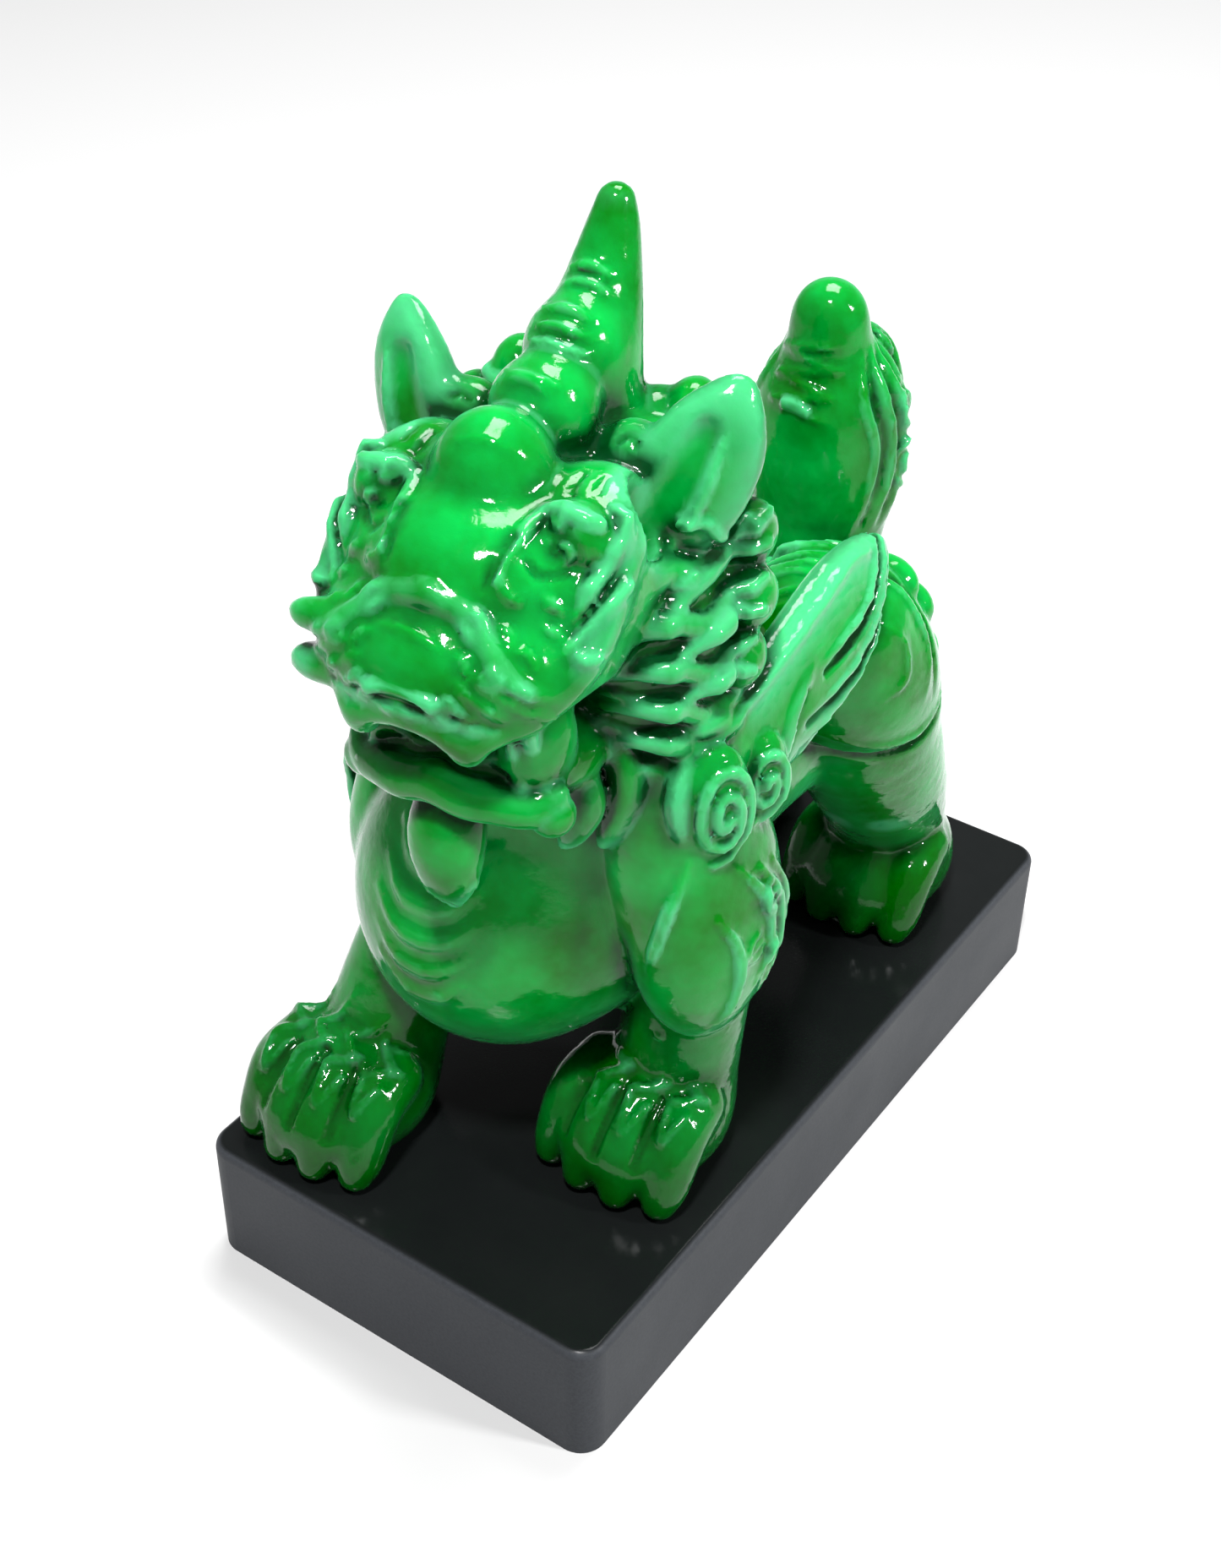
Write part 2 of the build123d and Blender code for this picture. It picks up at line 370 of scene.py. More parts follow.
def paw(clay, name):
    """A broad paw: four toes with a groove between each two, wrinkled over the knuckles."""
    side, forward = PAWS[name]
    clay.add(Lump((side, forward - 1, 5), (8.6, 9.8, 8.2)), 1.5)
    clay.add(Lump((side, forward + 4, 4.4), (8.2, 6.6, 5.6)), 1.5)
    toes = [(fan, forward - abs(fan) * 1.3) for fan in (-1.5, -0.5, 0.5, 1.5)]
    for fan, ahead in toes:
        clay.add(Strand([(side + fan * 4.0, ahead + 1.5, 8.8, 3.0),
                         (side + fan * 4.3, ahead + 5.6, 7.6, 3.1),
                         (side + fan * 4.5, ahead + 8.4, 3.4, 2.7),
                         (side + fan * 4.6, ahead + 9.6, 1.6, 2.0)]), 1.1)
    for gap in (-1, 0, 1):
        groove = [(side + gap * 4.0, forward + 3, OVER_PAWS),
                  (side + gap * 4.3, forward + 6.4, OVER_PAWS),
                  (side + gap * 4.5, forward + 10, OVER_PAWS)]
        clay.lay(groove, FROM_TOP, 0.45, carve=True, blend=0.6, reach=4)
    # Zigzag wrinkles over the knuckles, and a pointed ridge round each toe's tip
    for fan, ahead in toes:
        across = side + fan * 4.1
        for fold in range(3):
            slope = 1.3 if fold % 2 else -1.3
            wrinkle = [(across - 2.0, ahead + fold * 1.8 - slope, OVER_PAWS),
                       (across, ahead + 0.5 + fold * 1.8, OVER_PAWS),
                       (across + 2.0, ahead + fold * 1.8 + slope, OVER_PAWS)]
            clay.lay(wrinkle, FROM_TOP, (0.3, 0.55, 0.55, 0.3), rise=0.1, blend=0.4, reach=4)
        tip = [(across - 1.2, ahead + 5.4, OVER_PAWS), (across, ahead + 8.6, OVER_PAWS),
               (across + 1.2, ahead + 5.4, OVER_PAWS)]
        clay.lay(tip, FROM_TOP, 0.45, rise=0.3, blend=0.3, reach=4)


def tail(clay):
    """An upright flame: a front tongue under a round crown, and a second tongue behind."""
    clay.add(Strand([(0, -32, 46, 6), (0, -31.5, 54, 8.4), (0, -31.5, 62, 8.2), (0, -31, 66.5, 6.2),
                     (0, -30.4, 71.0, 4.5)]), 3)
    clay.add(Lump((0, -30.1, 74.0), (4.1, 3.9, 4.2)), 2.4)
    clay.add(Strand([(0, -35.6, 52, 4.6), (0.5, -36.8, 60, 5.4), (0.8, -37, 65.6, 4.2),
                     (1, -36.4, 68.6, 2.6)]), 1)


def tail_detail(clay):
    """Fine cross lines under the crown."""
    for row in range(6):
        up, tilt = 65.0 + row * 1.35, 0.7 if row % 2 else -0.5
        clay.lay([(-3.6, -17, up - tilt), (0, -17, up + 0.4), (3.6, -17, up + tilt)], FRONT,
                 (0.3, 0.5, 0.5, 0.3), rise=0.1, blend=0.4, reach=3)


def head(clay):
    """Skull, brows, snout, jaws, horn and ears."""
    def add(form, blend=1.5):
        clay.add(form, blend, HEAD)

    def pair(form, blend=1.5):
        clay.add_pair(form, blend, HEAD)

    # Skull, then the bridge of the nose and the cheeks, then the broad upper jaw like a hood
    add(Lump((0, 10, 72), (14, 13.5, 13)), 4)
    add(Lump((0, 24, 77), (11, 11, 7.5)), 3)
    pair(Lump((7.8, 22, 75), (6.4, 9.2, 7.4)), 2.5)
    pair(Lump((5.2, 26.5, 71.0), (8.2, 11.8, 7.0)), 2)
    add(Lump((0, 29, 71.5), (9, 10.5, 7)), 2)
    # Flared edge of the hood, from under the eye down to the mouth's corner
    pair(Strand([(11.8, 19, 81, 2.0), (12.8, 24, 77.8, 2.3), (12.8, 28.5, 73.8, 2.2),
                 (10.8, 32, 70.6, 1.8), (8.8, 34.8, 68.6, 1.4)], flat=((0.9, -0.5, 0), 0.6)), 1.2)
    # The right corner's two blunt points, and the lip with a fang-like lobe each side
    add(Strand([(-9, 34.5, 73.4, 1.6), (-12.2, 34.2, 72.6, 1.5), (-13.6, 33.8, 72.3, 1.0)]), 1)
    add(Strand([(-9, 35.2, 68.5, 1.8), (-12.2, 34.4, 67.8, 1.7), (-14.0, 33.6, 67.2, 1.1)]), 1)
    pair(Strand([(0, 38.4, 69.0, 1.5), (3, 38.0, 68.2, 1.6), (5.2, 37.4, 67.2, 1.8),
                 (7.4, 36, 68.0, 1.5), (9.6, 34, 68.8, 1.3)]), 0.8)
    pair(Lump((5.2, 37.3, 66.6), (1.9, 1.7, 2.2)), 0.6)
    # The mouth under it
    clay.carve(Lump((0, 33.5, 63.8), (8.2, 6, 1.5)), 0.8, HEAD)
    clay.carve_pair(Lump((13.2, 29.5, 65.0), (4.6, 6, 4.2)), 1.2, HEAD)
    pair(Lump((7.2, 28.8, 62.4), (3.4, 4.2, 4.6)), 1.5)
    # Brow: one great knob in the middle of the forehead, an eye under a rolled lid each side
    add(Lump((-0.5, 22.2, 83.0), (5.6, 5.4, 6.6)), 2.2)
    pair(Lump((8.2, 20, 81), (5.8, 5.4, 4.2)), 2.5)
    pair(Lump((9.2, 25, 81.6), (3.3, 3.2, 3.0)), 0.5)
    add(Lump((0.2, 14.6, 86.6), (5.0, 4.6, 4.6)), 2.4)
    # Horn with a swelling in front of its root
    add(Strand([(0, 8.5, 80, 6.4), (0, 6.0, 87, 5.0), (0, 3.4, 93, 3.7), (0, 1.5, 98, 2.5),
                (0, 0.9, 100.4, 1.8)]), 2)
    add(Lump((0, 8.6, 89.2), (4.6, 4.0, 5.0)), 4)
    # Ears, cupped forwards with a folded rim outside
    pair(Strand([(10, 13.5, 76, 3.8), (12.8, 13, 80.5, 5.4), (14.8, 11.5, 85, 4.9),
                 (16.1, 10, 88.8, 2.7), (16.7, 9.4, 90.6, 1.0)], flat=((0.25, 1, 0), 0.5)), 1)
    # Lower jaw with a rolled rim that curls at its corners, and the leaf-shaped tongue of its beard
    add(Lump((0, 24, 58.2), (11, 10.4, 4.6)), 2)
    pair(Strand([(0, 34.8, 59.2, 1.9), (3, 34.4, 58.2, 2.0), (5.6, 33.4, 57.8, 2.0),
                 (8.2, 32.0, 57.2, 1.9), (9.8, 30.6, 58.2, 1.5)]), 0.7)
    pair(Lump((9.6, 30.6, 56.2), (2.3, 2.2, 2.3)), 0.5)
    pair(Strand([(9.8, 30.4, 57, 1.1), (8.8, 30.8, 60, 0.9), (8.4, 31.8, 63, 0.8),
                 (8.8, 33, 66.6, 0.8)]), 0.5)
    pair(Strand([(7.6, 32, 59, 0.8), (7.0, 32.4, 61.6, 0.7), (7.2, 33.4, 65, 0.6)]), 0.4)
    add(Strand([(0, 31.2, 56, 3.0), (0, 32.8, 52, 3.8), (0, 32.8, 47.6, 3.0), (0, 31.8, 43.6, 0.8)],
               flat=((0, 1, 0), 0.85)), 0.6)


def face_detail(clay):
    """Horn rings, brow curls, wrinkles, ear folds and lip lines."""
    front = dict(towards=FRONT, place=HEAD)
    # Rings up the horn, then two fainter ones on the swelling before its root
    for ring in range(6):
        up, half = 90.6 + ring * 1.15, 3.6 - ring * 0.3
        clay.lay([(-half, 20, up - 0.8), (0, 20, up), (half, 20, up - 0.8)],
                 radius=(0.25, 0.5, 0.5, 0.25), rise=0.35, blend=0.25, **front)
    for ring in range(2):
        up = 87.6 + ring * 1.8
        clay.lay([(-3, 25, up), (0, 25, 88.6 + ring * 1.8), (3, 25, up)],
                 radius=(0.2, 0.35, 0.35, 0.2), rise=0.2, blend=0.4, **front)
    # A curled tuft between the knob and each ear
    clay.add_pair(Lump((8.2, 12.6, 83.8), (3.2, 2.6, 2.6)), 1.8, HEAD)
    clay.lay([(8.2 + x, 25, 84.6 + z) for x, z in spiral(2.0, 1.3, begin=200)], radius=0.35,
             pair=True, carve=True, **front)
    # A ring round each eye, and the ridge that falls from its outer corner along the cheek
    angles = [radians(a) for a in range(-60, 250, 20)]
    eye_ring = [(9.2 + 3.9 * cos(a), 30, 81.2 + 3.1 * sin(a)) for a in angles]
    clay.lay(eye_ring, radius=(0.4, 0.8, 0.7, 0.4), pair=True, rise=0.2, **front)
    clay.lay([(9.2 + x, 30, 81.8 + z) for x, z in spiral(2.2, 1.2, begin=200)], radius=0.35,
             carve=True, pair=True, **front)
    clay.lay([(13, 30, 85), (12.6, 30, 82), (12.0, 30, 79), (11.2, 30, 76.6)],
             radius=(0.4, 1.0, 0.9, 0.4), pair=True, rise=0.2, **front)
    # Brow creases beside the central knob
    clay.lay([(5.4, 26, 87), (5.4, 27, 83), (4.8, 28, 79.6)], radius=(0.3, 0.6, 0.5, 0.2),
             carve=True, pair=True, **front)
    # Ridge arched across the muzzle, with a line over its middle and two lines above the lip
    ridge = [(0, 40, 78.6), (3.5, 40, 77.5), (6.6, 40, 75.2), (9.2, 40, 73), (11.5, 40, 71.4)]
    clay.lay(ridge, radius=(1.1, 1.1, 0.9, 0.3), pair=True, rise=-0.25, blend=1.3, **front)
    clay.lay([(-4, 40, 75.6), (0, 40, 76.0), (3, 40, 75.2)], radius=(0.2, 0.5, 0.4, 0.2), rise=0.1,
             **front)
    clay.lay([(0, 40, 71.6), (3.5, 40, 71.2), (6.5, 40, 70.0)], radius=(0.5, 0.6, 0.5, 0.3),
             pair=True, rise=0.4, blend=0.3, **front)
    clay.lay([(0, 40, 70.0), (4, 40, 69.5), (8, 40, 68.6)], radius=(0.5, 0.6, 0.6, 0.3), pair=True,
             rise=0.4, blend=0.3, **front)
    # Short wrinkles scattered over the muzzle, and three that slant behind its corner
    for i in range(14):
        across, up = 3.2 + (i * 2.37) % 7.4, 70.8 + (i * 1.71) % 8.2
        clay.lay([(across - 0.9, 40, up + 0.5), (across, 40, up), (across + 0.8, 40, up - 0.9)],
                 radius=(0.3, 0.6, 0.5, 0.3), pair=True, rise=0.1, blend=0.5, **front)
    for i in range(3):
        across, up = 7.6 + i * 1.5, 73.0 - i * 1.5
        slant = [(across - 1.0, 40, up + 1.0), (across + 0.4, 40, up), (across + 1.2, 40, up - 1.8)]
        clay.lay(slant, radius=(0.2, 0.5, 0.4, 0.2), pair=True, rise=-0.1, **front)
    # Ears: a hollow, and a fold that rises from a looped lobe to the tip
    clay.carve_pair(Strand([(11.4, 18.4, 78.5, 2.2), (12.8, 18.4, 81.5, 3.1),
                            (14.4, 16.6, 85.2, 2.6), (15.4, 13.9, 87.8, 1.4)]), 1.2, HEAD)
    ear_fold = [(11.5, 20, 74.5), (13.6, 20, 77.6), (15.8, 20, 82), (16.9, 20, 87)]
    clay.lay(ear_fold, radius=(0.5, 0.8, 0.6, 0.3), pair=True, **front)
    lobe = [(13.8, 20, 79.5), (16.2, 20, 79.3), (16.9, 20, 76.6), (15.2, 20, 74.2), (12.6, 20, 74)]
    clay.lay(lobe, radius=0.6, pair=True, rise=0.3, **front)
    # Lip of the lower jaw, the beard's raised edge, and two curls beside the beard
    clay.lay([(-6.5, 40, 61.6), (-3, 40, 60.8), (0, 40, 61.4), (3, 40, 60.8), (6.5, 40, 61.6)],
             radius=(0.3, 0.7, 0.7, 0.3), blend=0.6, **front)
    edge = [(3.4, 40, 55), (4.0, 40, 51.5), (3.1, 40, 47.6), (1.0, 40, 44.0), (0, 40, 43.0)]
    clay.lay(edge, radius=0.45, pair=True, rise=0.1, **front)
    for across in (5.6, 7.4):
        clay.lay([(across, 40, 56.5), (across + 0.6, 40, 53.5), (across + 0.1, 40, 50.5)],
                 radius=(0.7, 1.0, 0.8, 0.3), pair=True, **front)


def mane(clay):
    """A scalloped ruff behind the cheeks, combed with wavy locks that hang below the jaw."""
    clay.add(Lump((0, 7.5, 66), (17.6, 7.4, 17.5)), 2, HEAD)
    clay.add_pair(Lump((9, 14, 64.5), (8.4, 8, 13.5)), 3, HEAD)
    scallops = [(9.0, 2.5, 83.0), (13, 4, 79), (16.4, 5.5, 74), (17.6, 7.4, 68.6), (17.6, 9.2, 63),
                (16.4, 11, 57.4), (13.8, 12.4, 52.4), (10.2, 13.6, 48.6)]
    for x, y, z in scallops:
        clay.add_pair(Lump((x, y, z), (2.6, 3.2, 3.2)), 1.2, HEAD)
    # Wavy locks combed from the cheek to the scallops, then three that hang below the jaw
    locks = 15
    for i in range(locks):
        along = i / (locks - 1) * (len(scallops) - 1)
        x, y, z = (np.interp(along, range(len(scallops)), axis) for axis in np.transpose(scallops))
        start, bend = 78.5 - i * 1.75, 1.1 if i % 2 else -0.7
        wavy = [(22, 31, start), (25, 27, start * 0.7 + z * 0.3 + bend),
                (27.5, 22.5, start * 0.35 + z * 0.65 - bend), (29.5, y + 9, z)]
        clay.lay(wavy, (-0.8, -0.6, 0), (0.5, 1.3 if i % 2 else 0.9, 1.2, 0.6), HEAD, pair=True,
                 rise=0.25, blend=0.3)
    for x, y, up, drop in ((11.2, 20.5, 58, 11.5), (9.0, 24, 56, 8), (12.6, 16, 56, 8)):
        clay.add_pair(Strand([(x, y, up, 1.6), (x + 0.8, y + 0.4, up - drop * 0.35, 1.9),
                              (x - 0.3, y + 0.6, up - drop * 0.75, 1.6),
                              (x - 1.2, y + 0.8, up - drop, 0.7)]), 0.6, HEAD)


def nape(clay):
    """Overlapping locks from behind the horn down to the withers."""
    for row in range(5):
        up, back = 82 - row * 6.6, -1.0 - row * 0.7
        for across in ((3.4, 9.4) if row % 2 else (0, 6.2)):
            lock = Strand([(across, back + 5 - across * 0.1, up, 3.0),
                           (across * 1.08, back + 0.8, up - 3.6, 3.2),
                           (across * 1.12, back - 1.2, up - 7.6, 1.9),
                           (across * 1.06, back - 1.6, up - 9.6, 0.8)])
            (clay.add_pair if across else clay.add)(lock, 0.5, HEAD)


def wings(clay):
    """A broad wing on each flank: feathers swept back from two volutes on the shoulder."""
    clay.add_pair(Strand([(15, 21, 57, 5.5), (15.2, 22, 48, 7.2), (14.8, 22, 38, 7)]), 2)
    clay.add_pair(Strand([(19.4, 23, 52, 6), (19.6, 14, 53.6, 7), (19.4, 6, 55.4, 8),
                          (18.8, -2, 57.4, 7.6), (18.2, -7.5, 59, 4.8), (18, -10, 60, 2.6)],
                         flat=((1, 0, 0.12), 0.36)), 1)
    left = dict(towards=FROM_LEFT, pair=True)
    grooves = (
        flank((-10.4, 63.5), (-7.2, 60.6), (-3.5, 58), (1, 57), (5.6, 56.2)),
        flank((-10.5, 59.6), (-7.4, 56), (-3, 53.6), (2, 52.4), (9, 52.2)),
        flank((-9.6, 55.6), (-6.4, 52.2), (-1.4, 50), (3, 49.2), (8.6, 49)),
    )
    for groove in grooves:
        clay.lay(groove, radius=(0.8, 1.0, 0.9, 0.5), carve=True, blend=0.3, **left)
        clay.lay([(s, f + 0.5, up + 1.3) for s, f, up in groove], radius=(0.4, 0.55, 0.5, 0.3),
                 rise=0.1, blend=0.4, **left)
    edge = flank((25, 57.6), (20, 58.2), (13, 60), (6, 62.2), (-2, 63.9), (-7, 63.2))
    clay.lay(edge, radius=(0.4, 0.7, 0.7, 0.4), rise=0.1, **left)
    # A small looped feather that laps over the root of the long ones
    clay.add_pair(Strand([(21.6, 14.6, 46.6, 1.2), (21.9, 13.6, 51.0, 1.6), (21.8, 10.8, 55.2, 1.5),
                          (21.3, 6.6, 58.6, 0.6)], flat=((1, 0, 0), 0.6)), 0.25)
    clay.lay(flank((12.6, 49.6), (11.6, 53), (9.2, 56)), radius=0.45, carve=True, **left)
    # Volutes, and the flames that trail below them down the upper arm
    outer = turned(yaw=28)
    clay.add_pair(Lump((20.9, 23.8, 51.0), (2.4, 3.9, 6.8), outer), 0.3)
    clay.add_pair(Lump((21.2, 16.6, 50.4), (2.3, 3.3, 5.2), outer), 0.3)
    curl(clay, (BESIDE, 28.6, 51.0), (-0.88, -0.47, 0), (3.5, 6.0), 2.2, -80, 0.65, rise=0.4)
    curl(clay, (BESIDE, 21.3, 50.4), (-0.88, -0.47, 0), (2.8, 4.5), 1.8, -60, 0.6, rise=0.4)
    flames = (
        flank((22.5, 43.5), (19.4, 38.5), (18.4, 33), (19.8, 27)),
        flank((19.4, 42), (16.4, 37), (15.8, 31), (17.6, 24)),
        flank((25.5, 39), (23.4, 34), (23.2, 28), (24.6, 23)),
        flank((16.6, 41), (14.2, 36), (13.6, 30), (15.2, 22)),
    )
    for flame in flames:
        clay.lay(flame, radius=(0.4, 0.8, 0.7, 0.3), rise=0.2, blend=0.4, **left)
    for f, up in ((18.2, 38.0), (17.2, 31), (20.6, 33)):
        clay.lay(flank(*((f + x, up + z) for x, z in spiral(1.8, 1.2, begin=90, spin=-1))),
                 radius=0.45, rise=0.3, **left)


def body_detail(clay):
    """Chest scutes, haunch curls and grooves, ridges across the back, and the tail's hair."""
    front, left = dict(towards=FRONT), dict(towards=FROM_LEFT, pair=True)
    for row in range(5):
        up = 41.5 - row * 3.5
        mid, half = -2.5, 5.6 - abs(row - 2) * 0.4
        scute = [(mid - half, 50, up + 2.0), (mid - half / 2, 50, up - 0.2), (mid, 50, up - 0.8),
                 (mid + half / 2, 50, up - 0.2), (mid + half, 50, up + 2.0)]
        clay.lay(scute, radius=(0.4, 1.1, 1.1, 0.4), rise=-0.35, blend=0.9, **front)
    clay.lay([(20.6, 50, 46), (19.4, 50, 39), (18, 50, 32)], radius=(0.3, 0.7, 0.6, 0.2), blend=0.8,
             **front)
    # Haunch: curls at its back, grooves that follow it, and the crease above the shin
    for f, up, size in ((-20.5, 51, 2.4), (-24.5, 46, 2.6), (-27, 39.5, 2.6)):
        clay.add_pair(Lump((14.5, f, up), (size + 1.5, size, size + 0.6)), 0.8)
    clay.lay(flank((-10.5, 52.5), (-12.8, 49.5), (-12.6, 45.6), (-10, 43.6)),
             radius=(0.2, 0.55, 0.5, 0.2), rise=0.2, **left)
    clay.lay(flank((-12, 57), (-15.6, 53.5), (-17.4, 47.5), (-16.6, 41)),
             radius=(0.2, 0.6, 0.5, 0.2), rise=0.2, **left)
    clay.lay(flank((-13.6, 57), (-17.4, 53), (-19.4, 47), (-18.8, 40)), radius=(0.2, 0.6, 0.5, 0.2),
             carve=True, **left)
    clay.lay(flank((-5, 38), (-10, 34.4), (-17, 33.4), (-25, 36)), radius=(0.3, 0.7, 0.7, 0.3),
             carve=True, blend=0.8, **left)
    clay.lay(flank((-7, 38.6), (-12, 36), (-18, 35.6), (-24, 38)), radius=(0.2, 0.5, 0.5, 0.2),
             rise=0.1, **left)
    # Fine ridges across the back
    for row in range(17):
        f = 3.0 - row * 1.65
        wave = 0.7 * sin(row * 2.4)
        ridge = [(-12, f - 1.2, 66), (-5, f + wave, 66), (0, f - wave, 66), (5, f + wave, 66),
                 (12, f - 1.2, 66)]
        clay.lay(ridge, FROM_TOP, (0.4, 0.7, 0.7, 0.4), rise=0.35, blend=0.25)
    # Hair of the tail: long locks with a groove between them, and curls near its edge
    for i in range(4):
        f = -28.0 - i * 2.9
        path = flank((f + 1.6, 51), (f + 0.4, 56), (f - 0.4, 61), (f + 0.2, 66),
                     (f * 0.6 - 12.4, 71))
        clay.lay(path, radius=(0.3, 0.7, 0.7, 0.2), rise=-0.1, blend=0.8, **left)
        clay.lay([(s, y - 1.3, z) for s, y, z in path], radius=(0.2, 0.45, 0.45, 0.2), carve=True,
                 blend=0.3, **left)
    for x in (-4.5, -1.5, 1.5, 4.5):
        groove = [(x, 0, 51), (x * 1.1 - 0.4, 0, 58), (x * 1.1 + 0.5, 0, 65), (x * 0.4, 0, 71)]
        clay.lay(groove, FROM_BEHIND, (0.2, 0.5, 0.4, 0.2), carve=True)
    for f, up, size in ((-34.4, 57.0, 2.6), (-35.6, 63.4, 2.2)):
        clay.add_pair(Lump((4.8, f, up), (2.4, size, size + 0.4)), 0.9)
        curl(clay, (BESIDE, f, up), FROM_LEFT, (size, size + 0.4), 1.6, 90, 0.45, rise=0.3)


def sculpt(cell):
    """The whole beast in clay: each part's masses, then the lines that lie on them."""
    clay = Clay(low=(-28, -50, -1.5), high=(28, 54, 104), cell=cell)
    trunk(clay)
    for name in PAWS:
        leg(clay, name)
        paw(clay, name)
    tail(clay)
    tail_detail(clay)
    nape(clay)
    mane(clay)
    head(clay)
    wings(clay)
    body_detail(clay)
    face_detail(clay)
    return clay


# ---------------------------------------------------------------- clay to mesh

# The enclosed mask feeds painted shade in folds, and the thin mask painted light through thin
# parts.
def shading_masks(clay, points, quads):
    """For each point of the skin: how enclosed it is, and how thin the casting is under it.
    Just outside open skin the field equals the distance walked, and in a fold it is less;
    just inside thick parts it equals minus that distance, and in thin ones it is nearer nought."""
    across = np.cross(points[quads[:, 2]] - points[quads[:, 0]],
                      points[quads[:, 3]] - points[quads[:, 1]])
    normals = np.zeros_like(points)
    for corner in range(4):
        np.add.at(normals, quads[:, corner], across)
    normals /= np.linalg.norm(normals, axis=1)[:, None] + 1e-9
    near, far, shallow, deep = 1.2, 3.0, 1.5, 4.0
    outside = [clay.value(points + normals * away) / away for away in (near, far)]
    enclosed = 1 - 0.5 * (outside[0] + outside[1])
    thin = (1.7 + 0.5 * clay.value(points - normals * deep) / deep
            + 1.2 * clay.value(points - normals * shallow) / shallow)
    return np.clip(enclosed, 0, 1), np.clip(thin, 0, 1)


def attach_masks(mesh, names, values):
    """Stores a value for each point under a name that a material can read."""
    for name, value in zip(names, values):
        layer = mesh.attributes.new(name, "FLOAT", "POINT")
        layer.data.foreach_set("value", np.ascontiguousarray(value, np.float32))


def make_figure():
    """The sculpted skin as one mesh, thinned to an even, moderate number of faces."""
    clay = sculpt(CLAY_CELL)
    points, quads = clay.skin()
    masks = shading_masks(clay, points, quads)
    world = np.column_stack([points[:, 0], -points[:, 1], points[:, 2] + sole]) * MM
    mesh = bpy.data.meshes.new("beast_skin")
    mesh.from_pydata(world.tolist(), [], quads[:, ::-1].tolist())
    attach_masks(mesh, ("enclosed", "thin"), masks)
    beast = bpy.data.objects.new("beast", mesh)
    bpy.context.scene.collection.objects.link(beast)
    thinner = beast.modifiers.new("thinner", "DECIMATE")
    thinner.ratio = min(1.0, MOST_TRIANGLES / (2 * len(quads)))
    thinned = beast.evaluated_get(bpy.context.evaluated_depsgraph_get())
    applied = bpy.data.meshes.new_from_object(thinned)
    beast.modifiers.clear()
    beast.data = applied
    applied.polygons.foreach_set("use_smooth", [True] * len(applied.polygons))
    return beast


# ---------------------------------------------------------------- materials

def new_material(name):
    """A material with its node tree, its shader and short ways to add and join nodes."""
    material = bpy.data.materials.new(name)
    material.use_nodes = True
    tree = material.node_tree
    shader = tree.nodes["Principled BSDF"]

    def node(kind, **settings):
        made = tree.nodes.new(kind)
        for key, value in settings.items():
            if key in made.inputs.keys():
                made.inputs[key].default_value = value
            else:
                setattr(made, key, value)
        return made

    def join(output, target):
        tree.links.new(output, target)

    return material, shader, node, join


def set_sockets(node, values):
    """Sets a node's own sockets, by name."""
    for socket, value in values.items():
        node.inputs[socket].default_value = value


def blend_colour(node, join, share, low, high):
    """Mixes two colours, each a constant or another node's output, by a share."""
    mix = node("ShaderNodeMix", data_type="RGBA")
    for socket, colour in ((mix.inputs[6], low), (mix.inputs[7], high)):
        if isinstance(colour, tuple):
            socket.default_value = (*colour, 1)
        else:
            join(colour, socket)
    join(share, mix.inputs[0])
    return mix.outputs[2]


def ranged(node, join, value, low, high, to_low=0.0, to_high=1.0):
    """A value stretched from one range to another, and held inside it."""
    scale = node("ShaderNodeMapRange", clamp=True)
    set_sockets(scale, {"From Min": low, "From Max": high, "To Min": to_low, "To Max": to_high})
    join(value, scale.inputs["Value"])
    return scale.outputs["Result"]


